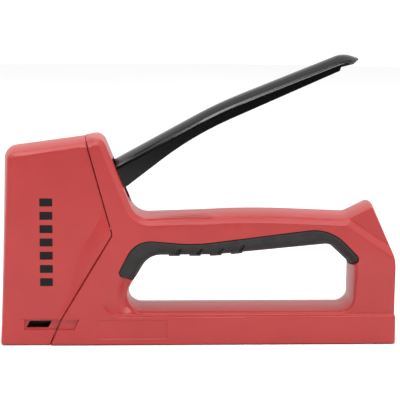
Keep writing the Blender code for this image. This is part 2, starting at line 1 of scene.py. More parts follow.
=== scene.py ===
"""The looks of a hand staple gun: fine moulded shells, rubber grip and pressed lever around the CAD frame.

+X points from the nose to the rear, +Y to the right-hand side and +Z up. Shapes are worked out in
millimetres and become metres when a mesh is made. A moulded piece is made as one half: over a region of
the XZ plane, its outer and inner faces are heights above the seam plane, and the other half mirrors it.
"""

import json
import math

import bmesh
import bpy
import numpy as np
from mathutils import Matrix, Quaternion, Vector
from mathutils.geometry import delaunay_2d_cdt


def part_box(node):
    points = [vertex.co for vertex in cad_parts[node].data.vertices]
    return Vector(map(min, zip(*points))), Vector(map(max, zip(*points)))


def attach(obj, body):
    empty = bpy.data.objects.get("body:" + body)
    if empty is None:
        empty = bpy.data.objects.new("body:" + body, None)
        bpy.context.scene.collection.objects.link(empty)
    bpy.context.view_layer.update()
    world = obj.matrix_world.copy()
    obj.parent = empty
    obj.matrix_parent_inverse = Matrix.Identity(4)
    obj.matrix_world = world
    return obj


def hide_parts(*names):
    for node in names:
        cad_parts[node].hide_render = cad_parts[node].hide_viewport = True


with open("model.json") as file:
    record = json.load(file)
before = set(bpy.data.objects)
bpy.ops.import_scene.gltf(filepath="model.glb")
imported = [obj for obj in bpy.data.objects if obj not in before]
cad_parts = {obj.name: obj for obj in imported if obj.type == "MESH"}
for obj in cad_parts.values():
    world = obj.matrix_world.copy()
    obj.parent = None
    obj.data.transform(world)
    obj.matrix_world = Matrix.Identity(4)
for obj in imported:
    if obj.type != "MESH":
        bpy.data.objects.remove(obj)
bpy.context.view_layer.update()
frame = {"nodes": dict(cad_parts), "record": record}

MM = 0.001
GAP = 0.3  # between pieces that touch
BEYOND = 400.0  # further than any part of the object
ARC_STEP = 5.0  # degrees of arc between two points of an outline
LEAST_RADIUS = 0.2
MERGE = 0.004  # points of a region closer than this become one

# Housing, as in the frame
LENGTH = 190.0
HALF = 15.0
INSIDE = 12.8
WALL = 2.2
HEAD_HEIGHT = 100.4
GRIP_HEIGHT = 64.8
RAIL_HEIGHT = 17.6
BASE_HEIGHT = 13.5
CROWN = 1.9  # how far the top faces fall away from the seam
EDGE = 2.7  # width of the sloped edge
TOP_STEP = 0.4  # how far the front cover's top lies below the body's

PIVOT_RADIUS = 3.0
LIFT_RADIUS = 1.6
PIVOT_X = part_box("pivot_pin")[0].x / MM + PIVOT_RADIUS
PIVOT_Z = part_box("pivot_pin")[0].z / MM + PIVOT_RADIUS
LIFT_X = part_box("lift_pin")[0].x / MM + LIFT_RADIUS
LIFT_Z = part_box("lift_pin")[0].z / MM + LIFT_RADIUS


def front(back):
    """X of a place this far behind the nose."""
    return back - LENGTH / 2


def rear(ahead):
    """X of a place this far ahead of the rear end."""
    return LENGTH / 2 - ahead


def down(drop):
    """Z of a place this far below the head's top."""
    return HEAD_HEIGHT - drop


# Outlines in the XZ plane. A corner is (x, z, radius). On the housing two more values follow: how wide
# the crown and the sloped edge are there, seen from the side.

SQUARE = (0.2, 0.3)
SLOPED = (CROWN, EDGE)


def housing_corners(step=0.0):
    grip = GRIP_HEIGHT
    return [
        (front(0), 0, 1.5, *SQUARE),
        (rear(0), 0, 0.8, *SQUARE),
        (rear(0), BASE_HEIGHT, 0, *SQUARE),
        (rear(0.5), BASE_HEIGHT + 0.5, 0, *SQUARE),
        (rear(0.4), grip - 23.8, 14, *SQUARE),
        (rear(11.8), grip + 3.4, 2.2, 1.3, EDGE),
        (rear(24.5), grip - 2.3, 6, *SLOPED),
        ((front(70) + rear(24.5)) / 2, grip - 0.3, 380, *SLOPED),
        (front(65.3), grip - 3.5, 9, 0.7, EDGE),
        (front(49.4), down(step), 7.5, 0.6, EDGE),
        (front(40.8), down(0.6 + step), 30, *SLOPED),
        (front(2.4), down(5.9 + step), 6, *SLOPED),
    ]


def opening_corners():
    """The hand opening, with the widths of its own crown and lip."""
    grip = GRIP_HEIGHT
    return [
        (front(56.6), RAIL_HEIGHT, 6.5, 1.7, 1.4),
        (rear(22.3), RAIL_HEIGHT, 5, 1.7, 1.3),
        (rear(22.3), grip - 26.5, 4, 1.8, 1.2),
        (rear(32), grip - 17.4, 5, 1.8, 1.2),
        (front(103), grip - 22.7, 60, 1.8, 1.2),
        (front(71.2), grip - 22.8, 10, 1.8, 1.6),
    ]


def rubber_corners():
    grip = GRIP_HEIGHT
    return [
        (front(65), grip - 34.1, 0),
        (front(75), grip - 32.8, 0),
        (rear(35), grip - 28.8, 0),
        (rear(22.8), grip - 27.4, 0),
        (rear(17.7), grip - 23.6, 2.5),
        (rear(32.7), grip - 8, 22),
        (front(93), grip - 16.1, 80),
        (front(64.5), grip - 13.8, 12),
        (front(56.1), grip - 30.6, 2),
    ]


def nose_corners():
    """Everything ahead of the slanted parting line between the front cover and the body."""
    return [
        (front(-20), -20, 0),
        (front(15), -20, 0),
        (front(29.6), BASE_HEIGHT, 20),
        (front(53.5), down(46.7), 3),
        (front(40.6), down(0), 0),
        (front(35), down(-20), 0),
        (front(-20), down(-20), 0),
    ]


def lever_corners():
    """The whole side view of the lever: grip part, pivot eye and lift arm."""
    return [
        (front(60.2), PIVOT_Z - 4.1, 3),
        (front(92), PIVOT_Z + 20.5, 250),
        (rear(28.9), PIVOT_Z + 51.2, 0.5),
        (rear(28.3), PIVOT_Z + 53.0, 0.6),
        (rear(22.4), PIVOT_Z + 54.4, 0.8),
        (rear(17.4), PIVOT_Z + 56.2, 0.8),
        (rear(26.5), PIVOT_Z + 59.2, 12),
        (front(103), PIVOT_Z + 34.7, 200),
        (front(53), PIVOT_Z + 7.2, 3),
        (PIVOT_X - 4, PIVOT_Z + 7.5, 6),
        (LIFT_X - 5.1, LIFT_Z + 2, 4),
        (LIFT_X - 0.6, LIFT_Z - 4.9, 4),
        (PIVOT_X + 4, PIVOT_Z - 7.5, 5),
    ]


def moved_corners(corners, inward):
    """The corners moved inwards by a distance for each, with their radii to match."""
    moved = []
    for index, (x, z, radius) in enumerate(corners):
        corner = Vector((x, z))
        along_last = (corner - Vector(corners[index - 1][:2])).normalized()
        along_next = (Vector(corners[(index + 1) % len(corners)][:2]) - corner).normalized()
        inner = Vector((-along_last.y - along_next.y, along_last.x + along_next.x)).normalized()
        reach = inward[index] / inner.dot(Vector((-along_last.y, along_last.x)))
        place = corner + inner * reach
        convex = along_last.cross(along_next) > 0
        if radius:
            radius = max(LEAST_RADIUS, radius - inward[index] * (1 if convex else -1))
        moved.append((place.x, place.y, radius))
    return moved


def rounded(corners, inward=0.0):
    """The outline of the corners, moved inwards, as an array of points, and each point's corner number."""
    corners = [corner[:3] for corner in corners]
    distances = inward if isinstance(inward, list) else [inward] * len(corners)
    corners = moved_corners(corners, distances)
    points, owners = [], []
    for index, (x, z, radius) in enumerate(corners):
        corner = Vector((x, z))
        if not radius:
            points.append(corner)
            owners.append(index)
            continue
        to_last = Vector(corners[index - 1][:2]) - corner
        to_next = Vector(corners[(index + 1) % len(corners)][:2]) - corner
        room = 0.48 * min(to_last.length, to_next.length)
        to_last.normalize()
        to_next.normalize()
        half = to_last.angle(to_next) / 2
        reach = min(radius / math.tan(half), room)
        radius = reach * math.tan(half)
        centre = corner + (to_last + to_next).normalized() * radius / math.sin(half)
        spoke = corner + to_last * reach - centre
        turn = math.pi - 2 * half
        steps = max(6 if radius > 50 else 2, math.ceil(math.degrees(turn) / ARC_STEP))
        if to_last.cross(to_next) > 0:
            turn = -turn
        points += [centre + Matrix.Rotation(turn * k / steps, 2) @ spoke for k in range(steps + 1)]
        owners += [index] * (steps + 1)
    return np.array([tuple(point) for point in points]), owners


def ring(corners, crown_share, edge_share):
    """The outline moved in by a share of each corner's crown width and edge width."""
    return rounded(corners, [crown_share * c[3] + edge_share * c[4] for c in corners])[0]


# Measures over the plane, for arrays of points


def arc(radius, along):
    """Height of a circle's arc at a distance from its centre."""
    return np.sqrt(np.maximum(radius**2 - along**2, 0))


def smooth(low, high, value):
    share = np.clip((value - low) / (high - low), 0, 1)
    return share * share * (3 - 2 * share)


def to_segments(points, line, closed=True):
    """Distance from each point to each segment of a line, and how far along the segment that is."""
    start = line if closed else line[:-1]
    end = np.roll(line, -1, axis=0) if closed else line[1:]
    along = end - start
    offset = points[:, None, :] - start[None, :, :]
    share = np.clip((offset * along).sum(2) / np.maximum((along**2).sum(1), 1e-12), 0, 1)
    return np.linalg.norm(offset - share[:, :, None] * along, axis=2), share


def distance(points, line, closed=True):
    return to_segments(points, line, closed)[0].min(axis=1)


def within(points, line):
    """Which points lie inside a closed line."""
    x, z = points[:, 0, None], points[:, 1, None]
    x0, z0 = line[:, 0], line[:, 1]
    x1, z1 = np.roll(x0, -1), np.roll(z0, -1)
    crosses = (z0 > z) != (z1 > z)
    rise = np.where(z1 == z0, 1, z1 - z0)
    return (crosses & (x < (x1 - x0) * (z - z0) / rise + x0)).sum(axis=1) % 2 == 1


def signed(points, line):
    """Distance to a closed line, positive inside it."""
    return np.where(within(points, line), 1, -1) * distance(points, line)


def stage(points, corners):
    """How far in from an outline each point is: 0 to 1 across its crown, and from 1 to 2 across its edge."""
    line, owners = rounded(corners)
    crown = np.array([corners[k][3] for k in owners])
    edge = np.array([corners[k][4] for k in owners])
    gaps, share = to_segments(points, line)
    crowns = crown + share * (np.roll(crown, -1) - crown)
    edges = edge + share * (np.roll(edge, -1) - edge)
    return np.where(gaps < crowns, gaps / crowns, 1 + (gaps - crowns) / edges).min(axis=1)


# Meshes


def triangulate(lines, points=()):
    """Triangles of the plane that keep to the lines. A line is (array of points, closed)."""
    verts = [Vector(p) for p in points]
    edges = []
    for line, closed in lines:
        start, count = len(verts), len(line)
        verts += [Vector(p) for p in line]
        edges += [(start + k, start + (k + 1) % count) for k in range(count if closed else count - 1)]
    flat, _, faces, _, _, _ = delaunay_2d_cdt(verts, edges, [], 0, MERGE)
    return np.array([tuple(p) for p in flat]), np.array(faces)


def solid_between(name, flat, faces, low, high, side=1, open_below=False):
    """A closed solid over the triangles, from one height above the seam plane to another."""
    used = np.unique(faces)
    index = np.full(len(flat), -1)
    index[used] = np.arange(len(used))
    faces = index[faces]
    flat, high = flat[used], high[used]
    low = np.minimum(low[used], high - 0.05)
    data = bmesh.new()
    bottom = [data.verts.new((x * MM, side * y * MM, z * MM)) for (x, z), y in zip(flat, low)]
    top = [data.verts.new((x * MM, side * y * MM, z * MM)) for (x, z), y in zip(flat, high)]
    edges = np.concatenate([faces[:, [0, 1]], faces[:, [1, 2]], faces[:, [2, 0]]])
    known = {(a, b) for a, b in edges.tolist()}
    for a, b, c in faces.tolist():
        data.faces.new((top[a], top[b], top[c]))
        if not (open_below and low[a] == low[b] == low[c] == 0):
            data.faces.new((bottom[c], bottom[b], bottom[a]))
    for a, b in known:
        if (b, a) not in known:
            data.faces.new((top[b], top[a], bottom[a], bottom[b]))
    if open_below:
        copy = bmesh.ops.duplicate(data, geom=data.faces[:] + data.edges[:] + data.verts[:])["geom"]
        copied = [item for item in copy if isinstance(item, bmesh.types.BMVert)]
        bmesh.ops.scale(data, verts=copied, vec=(1, -1, 1))
        bmesh.ops.remove_doubles(data, verts=data.verts[:], dist=1e-7)
    bmesh.ops.recalc_face_normals(data, faces=data.faces[:])
    return made_object(name, data)


def made_object(name, data, sharp=38):
    mesh = bpy.data.meshes.new(name)
    data.to_mesh(mesh)
    data.free()
    made = bpy.data.objects.new(name, mesh)
    bpy.context.scene.collection.objects.link(made)
    mesh.shade_smooth()
    mesh.set_sharp_from_angle(angle=math.radians(sharp))
    weighted = made.modifiers.new("weighted_normals", "WEIGHTED_NORMAL")
    weighted.keep_sharp = True
    return made


def lattice(x, z, step):
    """Points of a grid over a rectangle."""
    xs = np.arange(x[0], x[1], step)
    zs = np.arange(z[0], z[1], step)
    return [(float(a), float(b)) for a in xs for b in zs]


# Housing

PROFILE = {  # stage: height above the seam plane
    0.0: 0.5,
    0.03: 2.1,
    0.11: 4.1,
    0.24: 6.0,
    0.35: 7.2,
    0.42: 8.0,
    0.59: 9.4,
    0.66: 10.0,
    0.88: 11.5,
    1.0: 12.2,
    1.08: 12.5,
    1.9: 14.72,
    2.0: 14.93,
    2.12: HALF,
}
GRIP_PROFILE = {0.9: 11.65, 1.02: 12.0, 1.17: 12.15, 1.22: 12.7}  # the grip's crown ends in a fine ledge
OPENING_PROFILE = {
    0.0: 0.5,
    0.03: 2.1,
    0.11: 4.1,
    0.24: 6.0,
    0.42: 8.0,
    0.66: 10.0,
    0.88: 11.5,
    1.1: 12.7,
    1.9: 14.2,
    2.1: 14.5,
    2.6: HALF,
}


def along_profile(profile, stages):
    return np.interp(stages, list(profile), list(profile.values()))


def housing_height(points):
    """Height of the housing's edges: crown, fine ledge and sloped edge."""
    stages = stage(points, housing_corners())
    plain = along_profile(PROFILE, stages)
    grip = {s: y for s, y in PROFILE.items() if not 0.8 < s < 1.2} | GRIP_PROFILE
    fine = along_profile(dict(sorted(grip.items())), stages)
    share = smooth(front(62), front(72), points[:, 0]) * (1 - smooth(rear(30), rear(26), points[:, 0]))
    return plain + share * (fine - plain)


LABEL = [(front(46.4), 3.0), (front(79.7), 3.0), (front(79.7), 12.3), (front(46.4), 12.3)]
WINDOW = [(front(11.5), 7.6), (front(35.3), 7.5), (front(37.7), 12.7), (front(11.6), 12.7)]
HOLE = [(front(12.3), 8.5), (front(22.8), 8.5), (front(24.8), 11.9), (front(14.1), 11.9)]
LABEL_DEPTH = 0.22
LEDGE_DEPTH = 1.5
SCOOP_DEPTH = 4.2
GROOVE_RADIUS = 0.55
FACET_WIDTH = 4.3
COVER_STEP = 1.0
WINDOW_DEPTH = 1.0
DRAFT = 0.22  # how far a recess's walls lean


def hump_line(inward):
    """The line where the sloped edge leaves the outline and cuts across below the hump."""
    low, high = np.array((rear(1.5), GRIP_HEIGHT - 19.6)), np.array((rear(24.4), GRIP_HEIGHT - 4.0))
    along = (high - low) / np.linalg.norm(high - low)
    inner = np.array((-along[1], along[0]))
    return np.array([low - 12 * along, high + 3 * along]) + inner * inward


def hump_height(points):
    """Beyond the diagonal line the side face falls to a facet behind a ridge."""
    low, high = hump_line(0)
    along = (high - low) / np.linalg.norm(high - low)
    inside = (points - low) @ np.array((-along[1], along[0]))
    steps = {-0.8: 12.2, -0.2: 13.0, 2.5: 14.8, 2.9: HALF}
    height = np.interp(inside, list(steps), list(steps.values()))
    near = (points[:, 0] > rear(30)) & (points[:, 1] > GRIP_HEIGHT - 30)
    return np.where(near, height, HALF)


def side_recess(points):
    """How far the side lies behind the rail's face: a ledge over the rail and a scoop up into the head."""
    x, z = points.T
    foot = ledge_z(x)
    ledge = smooth(0, 1.25, z - foot) * (1 - smooth(RAIL_HEIGHT, GRIP_HEIGHT - 18, z))
    start, end = np.array((front(50.5), 21.0)), np.array((front(56.0), 34.0))
    along = (end - start) / np.linalg.norm(end - start)
    across = (points - start) @ np.array((along[1], -along[0]))
    ledge = LEDGE_DEPTH * ledge * smooth(-3.0, 1.5, across)
    opening = distance(points, rounded(opening_corners())[0])
    reach = 1 - smooth(0.5, 8.0, opening)
    low = smooth(0, 4.5, z - foot) * (1 - smooth(GRIP_HEIGHT - 33, GRIP_HEIGHT - 24, z))
    scoop = SCOOP_DEPTH * reach * low
    return ledge + scoop * (1 - smooth(front(58), front(66), x))


def ledge_z(x):
    """The ledge is level and curls up towards the head."""
    return BASE_HEIGHT + 4.5 * (np.clip(front(58) - x, 0, None) / 8.5) ** 2


def parting_line():
    """The open part of the nose region's outline that crosses the housing, from the base up."""
    return rounded(nose_corners())[0][1:-2]


def grooved(height, points):
    """Rounds the edges along the parting line."""
    apart = distance(points, parting_line(), closed=False) - LOW
    inside = np.clip(GROOVE_RADIUS - apart, 0, GROOVE_RADIUS)
    return height - (GROOVE_RADIUS - arc(GROOVE_RADIUS, inside))


def facet_line():
    """The front edge of the cover's sloped facet, between the parting line's knee and the window."""
    return np.array([(front(26.5), 13.0), (front(31.8), 22.8), (front(38.6), 46), (front(52.4), 69)])


def cover_face(points):
    """The cover's side lies lower than the body's; behind the facet's front edge it rises to meet it."""
    gaps, _ = to_segments(points, facet_line(), closed=False)
    start, end = facet_line()[:-1], facet_line()[1:]
    along = (end - start) / np.linalg.norm(end - start, axis=1)[:, None]
    across = ((points[:, None, :] - start) * np.stack((along[:, 1], -along[:, 0]), axis=1)).sum(2)
    side = np.take_along_axis(across, gaps.argmin(axis=1)[:, None], axis=1)[:, 0]
    behind = np.where((side > 0) & (points[:, 1] > WINDOW[2][1]), gaps.min(axis=1), 0)
    return HALF - COVER_STEP * (1 - np.clip(behind / FACET_WIDTH, 0, 1))




def sunk(height, points, outline, depth):
    """Sinks a recess with leaning walls into the height."""
    inside = signed(points, np.array(outline))
    return height - depth * np.clip(inside / DRAFT, 0, 1)


def shrunk(outline, distance_in):
    return rounded([(x, z, 0) for x, z in outline], distance_in)[0]


# Inner faces

CHANNEL_FRONT = front(4.2)
CHANNEL_REAR = rear(3.4)
SLOT_SIDE = 7.2
LEVER_SLOT_SIDE = 9.4
LEVER_SLOT = (PIVOT_Z - 11.5, PIVOT_Z + 9.2)
REAR_SLOT_TOP = 12.8
LOW = GAP / 2
LEAST_WALL = 1.4
OPENING_WALL = 4.5  # from the hand opening's edge to the hollow inside
BOSS_RADIUS = 4.3
BORE_RADIUS = 1.8
SINK_RADIUS = 3.2
SINK_FLOOR = 11.5
SCREWS = [
    (front(37), down(9.1)),
    (front(33), 30),
    (front(59.5), GRIP_HEIGHT - 7.3),
    (front(99), GRIP_HEIGHT - 8.3),
    (rear(29), GRIP_HEIGHT - 8.3),
    (rear(10.5), 24),
    (front(48), 22),
]
RUBBER_HALF = 15.2
RUBBER_SIDE = 1.8
RUBBER_UNDER = 2.2
RIB_PROUD = 0.8
RIB_WIDTH = 5.2
RIB_PITCH = 10.0
RIB_START = front(83.2)
RIBS = 4


def inner_depth(points, corners):
    """Height of the shell's inner face above the seam plane, without its slots."""
    shell = signed(points, rounded(corners, WALL)[0])
    opening = signed(points, rounded(opening_corners(), -OPENING_WALL)[0])
    room = np.minimum(shell, -opening)
    return LOW + (INSIDE - LOW) * np.clip(room / DRAFT, 0, 1)


def slot_depth(points):
    """Height of the slots' sides: for the channel below, the magazine behind and the lever."""
    x, z = points.T
    below = (x > CHANNEL_FRONT + 0.05) & (x < CHANNEL_REAR + GAP) & (z < WALL + GAP)
    behind = (x > CHANNEL_REAR - GAP) & (z < REAR_SLOT_TOP - 0.05)
    low, high = LEVER_SLOT
    lever = (z > low + 0.05) & (z < high - 0.05) & (x > front(44)) & (x < front(66))
    return np.where(below | behind, SLOT_SIDE, np.where(lever, LEVER_SLOT_SIDE, 0))


def circle(centre, radius):
    turns = np.linspace(0, 2 * math.pi, 28, endpoint=False)
    return np.column_stack((np.cos(turns), np.sin(turns))) * radius + np.array(centre)


def with_screws(points, low, high, side):
    """Bosses inside, with blind bores on the left and counterbores on the right."""
    for place in SCREWS:
        away = np.linalg.norm(points - np.array(place), axis=1)
        low = LOW + (low - LOW) * np.clip((away - BOSS_RADIUS) / DRAFT, 0, 1)
        if side > 0:
            sink = np.clip((SINK_RADIUS + DRAFT - away) / DRAFT, 0, 1)
            high = high - (high - SINK_FLOOR) * sink
        else:
            low = low + (SINK_FLOOR - low) * np.clip((BORE_RADIUS - away) / DRAFT, 0, 1)
    return low, high


def shell_lines(corners):
    """The lines that every shell's triangles keep to."""
    lines = [(ring(corners, min(s, 1), max(0, s - 1)), True) for s in PROFILE]
    lines += [(ring(corners, 1, s - 1), True) for s in (1.17, 1.22)]
    opening = opening_corners()
    lines += [(ring(opening, -min(s, 1), -max(0, s - 1)), True) for s in OPENING_PROFILE]
    lines += [(rounded(corners, WALL + d)[0], True) for d in (0, DRAFT)]
    lines += [(rounded(opening, -(OPENING_WALL + d))[0], True) for d in (0, DRAFT)]
    across = np.linspace(front(49.5), rear(-1), 60)
    for rise in (0, 0.3, 0.6, 0.95, 1.25):
        lines.append((np.column_stack((across, ledge_z(across) + rise)), False))
    lines += [(hump_line(-d), False) for d in (0.8, 0.2, -2.5, -2.9)]
    for away in (0.15, 0.2, 0.3, 0.45, 0.7):
        lines += [(rounded(nose_corners(), sign * away)[0], True) for sign in (-1, 1)]
    for outline in (LABEL, WINDOW):
        lines += [(shrunk(outline, d), True) for d in (0, DRAFT)]
    lines += [(np.array(HOLE), True), (facet_line(), False)]
    for place in SCREWS:
        for radius in (BORE_RADIUS - DRAFT, BORE_RADIUS, SINK_RADIUS, SINK_RADIUS + DRAFT, BOSS_RADIUS):
            lines.append((circle(place, radius), True))
        lines.append((circle(place, BOSS_RADIUS + DRAFT), True))
    for z in (WALL + GAP, REAR_SLOT_TOP - 0.1, REAR_SLOT_TOP, LEVER_SLOT[0], LEVER_SLOT[0] + 0.1):
        lines.append((np.array([(-BEYOND, z), (BEYOND, z)]), False))
    for z in (LEVER_SLOT[1] - 0.1, LEVER_SLOT[1]):
        lines.append((np.array([(-BEYOND, z), (BEYOND, z)]), False))
    for x in (CHANNEL_FRONT, CHANNEL_FRONT + 0.1, CHANNEL_REAR - GAP, CHANNEL_REAR + GAP):
        lines.append((np.array([(x, -5.0), (x, 14.0)]), False))
    return lines


def cover_heights(points):
    corners = housing_corners(TOP_STEP)
    high = along_profile(PROFILE, stage(points, corners))
    high = grooved(np.minimum(high, cover_face(points)), points)
    return sunk(high, points, WINDOW, WINDOW_DEPTH)


def body_heights(points):
    high = grooved(housing_height(points), points)
    high = np.minimum(high, HALF - side_recess(points))
    opening = along_profile(OPENING_PROFILE, stage(points, opening_corners()))
    high = np.minimum(high, hump_height(points))
    high = np.minimum(high, opening)
    high = sunk(high, points, WINDOW, WINDOW_DEPTH)
    high = sunk(high, points, LABEL, LABEL_DEPTH)
    zone = signed(points, rounded(rubber_corners(), -GAP)[0])
    seat = rubber_face(points) - RUBBER_SIDE - GAP
    return np.minimum(high, HALF - (HALF - seat) * np.clip(zone / 0.1, 0, 1))


def make_shells(name, corners, heights, region):
    """The left and right shells over a region of the housing."""
    grid = lattice((front(0), rear(0)), (0, HEAD_HEIGHT), 3.1)
    grid += lattice((front(46), front(66)), (BASE_HEIGHT, GRIP_HEIGHT - 26), 0.7)
    lines = shell_lines(corners)
    zone, lining = rounded(rubber_corners(), -GAP)[0], rounded(opening_corners(), -RUBBER_UNDER - GAP)[0]
    lines += [(zone, True), (rounded(rubber_corners(), 0.1 - GAP)[0], True), (lining, True)]
    flat, faces = triangulate(lines, grid)
    centres = flat[faces].mean(axis=1)
    keep = region(centres) & within(centres, rounded(corners)[0]) & ~within(centres, np.array(HOLE))
    keep &= ~within(centres, rounded(opening_corners())[0])
    keep &= ~(within(centres, zone) & within(centres, lining))
    faces, centres = faces[keep], centres[keep]
    for side, word in ((-1, "left"), (1, "right")):
        sides = []
        for points in (flat, centres):
            high = heights(points)
            low = np.maximum(np.minimum(inner_depth(points, corners), high - LEAST_WALL), LOW)
            low = np.maximum(low, slot_depth(points))
            sides.append(with_screws(points, low, high, side))
        (low, high), (centre_low, centre_high) = sides
        kept = centre_high > centre_low  # nothing is left where a slot is wider than the edge
        if side > 0:
            for place in SCREWS:
                kept &= np.linalg.norm(centres - np.array(place), axis=1) > BORE_RADIUS
        shell = solid_between(f"fine_{name}_{word}", flat, faces[kept], low, high, side)
        fitted(shell, "housing", "red_plastic", f"{name}_{word}")


def nose_region(points):
    return within(points, rounded(nose_corners(), LOW)[0])


def body_region(points):
    return ~within(points, rounded(nose_corners(), -LOW)[0])


def fitted(piece, body, slot, *nodes):
    """The piece moves with a body, stands for its CAD nodes and has the finish of a slot."""
    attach(piece, body)
    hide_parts(*nodes)
    piece.data.materials.append(LOOKS[slot]())


# Rubber grip

RUBBER_PROFILE = {  # distance from the opening's edge: height above the seam plane
    -0.8: 1.0,
    0.0: 3.0,
    0.25: 5.2,
    0.7: 7.6,
    1.3: 9.8,
    2.1: 11.8,
    3.0: 13.3,
    4.0: 14.4,
    5.0: 15.0,
    5.8: RUBBER_HALF,
}
RIB_PROFILE = {-0.8: 3.5, 0.0: 7.0, 0.7: 9.4, 1.3: 11.0, 2.1: 12.5, 3.0: 13.6, 4.0: 14.4, 5.0: 15.0}
RUBBER_RIM = 0.9
RIB_DRAFT = 0.2
NOTCH_LOW = GRIP_HEIGHT - 20.6
NOTCH_LEAN = 1.4
NOTCH_HEIGHT = 2.2
NOTCH_HALF = 0.7
NOTCH_DEPTH = 1.1
FINE_STEP = 0.9


def rubber_face(points):
    """Height of the sleeve's outer face: it rounds over towards the opening, but the ribs stay full."""
    depth = -signed(points, rounded(opening_corners())[0])
    plain = along_profile(RUBBER_PROFILE, depth)
    full = np.maximum(plain, along_profile(RIB_PROFILE, depth))
    return plain + (full - plain) * np.clip(1 - beside_rib(points) / RIB_DRAFT, 0, 1)


def beside_rib(points):
    """How far each point lies outside the nearest rib, along the grip."""
    along = (points[:, 0] - RIB_START) / RIB_PITCH
    nearest = np.clip(np.round(along), 0, RIBS - 1)
    return np.abs(along - nearest) * RIB_PITCH - RIB_WIDTH / 2


def notches():
    """The slanted notch behind each rib, as its two ends."""
    for index in range(RIBS):
        x = RIB_START + index * RIB_PITCH + RIB_WIDTH / 2 - NOTCH_LEAN
        z = NOTCH_LOW + 0.14 * max(0, x - front(103))
        yield np.array([(x, z), (x + NOTCH_LEAN, z + NOTCH_HEIGHT)])


def notched(height, points):
    for notch in notches():
        away = distance(points, notch, closed=False)
        height = height - NOTCH_DEPTH * smooth(0, 0.5, 1 - away / NOTCH_HALF)
    return height


def finely(line):
    """The closed line with a point at least every FINE_STEP."""
    points = []
    for start, end in zip(line, np.roll(line, -1, axis=0)):
        count = max(1, math.ceil(np.linalg.norm(end - start) / FINE_STEP))
        points += [start + (end - start) * k / count for k in range(count)]
    return np.array(points)


def make_rubber():
    """A sleeve over the grip's sides and under it, with ribs for the fingers."""
    zone = rounded(rubber_corners())[0]
    opening = rounded(opening_corners())[0]
    steps = [*RUBBER_PROFILE, -0.5, RUBBER_UNDER, RUBBER_UNDER + DRAFT]
    lines = [(finely(rounded(opening_corners(), -d)[0]), True) for d in steps]
    lines += [(finely(rounded(rubber_corners(), d)[0]), True) for d in (0, 0.1, 0.3, 0.6, RUBBER_RIM)]
    for index in range(RIBS):
        for end in (-RIB_WIDTH / 2 - RIB_DRAFT, -RIB_WIDTH / 2, RIB_WIDTH / 2, RIB_WIDTH / 2 + RIB_DRAFT):
            x = RIB_START + index * RIB_PITCH + end
            lines.append((np.array([(x, GRIP_HEIGHT - 25), (x, GRIP_HEIGHT - 12)]), False))
    grid = []
    for (low_x, low_z), (high_x, high_z) in notches():
        grid += lattice((low_x - 1, high_x + 1), (low_z - 1, high_z + 1), 0.28)
    flat, faces = triangulate(lines, grid)
    centres = flat[faces].mean(axis=1)
    depth = -signed(centres, opening)
    keep = within(centres, zone) & ((depth > 0) | ((depth > -RIB_PROUD) & (beside_rib(centres) < 0)))
    depth = -signed(flat, opening)
    rim = np.clip(RUBBER_RIM - distance(flat, zone), 0, RUBBER_RIM)
    side = rubber_face(flat) - RUBBER_SIDE
    high = notched(rubber_face(flat), flat) - RUBBER_RIM + arc(RUBBER_RIM, rim)
    low = side * np.clip((depth - RUBBER_UNDER) / DRAFT, 0, 1)
    low = np.where(depth < RUBBER_UNDER + 0.01, 0, np.minimum(low, high - 0.3))
    rubber = solid_between("fine_rubber_grip", flat, faces[keep], low, high, open_below=True)
    fitted(rubber, "housing", "grip_rubber", "rubber_grip")


# Lever

LEVER_HALF = 9.0
LEVER_SHEET = 1.6
LEVER_ARCH = {  # distance below the top line: half the width there
    0.0: 0.8,
    0.06: 1.2,
    0.2: 2.1,
    0.45: 3.2,
    0.8: 4.3,
    1.25: 5.3,
    1.8: 6.5,
    2.3: 7.5,
    2.5: 7.85,
    2.64: 8.02,
    3.6: 8.7,
    3.9: 8.88,
    4.4: LEVER_HALF,
}
LEVER_ARCH_END = 2.5
LEVER_ARCH_SHARE = 0.65  # how deep the arch is at the head, against its depth along the grip
LEVER_EDGE = 0.3
LEVER_ARMS = front(53.8)  # ahead of here the top sheet is cut away and only the arms are left


def lever_face(under, x):
    """Half the lever's width this far below its top line: an arched top and a shoulder facet."""
    share = LEVER_ARCH_SHARE + (1 - LEVER_ARCH_SHARE) * smooth(front(55), front(105), x)
    arched = np.where(under < LEVER_ARCH_END * share, under / share, under + LEVER_ARCH_END * (1 - share))
    return along_profile(LEVER_ARCH, arched)


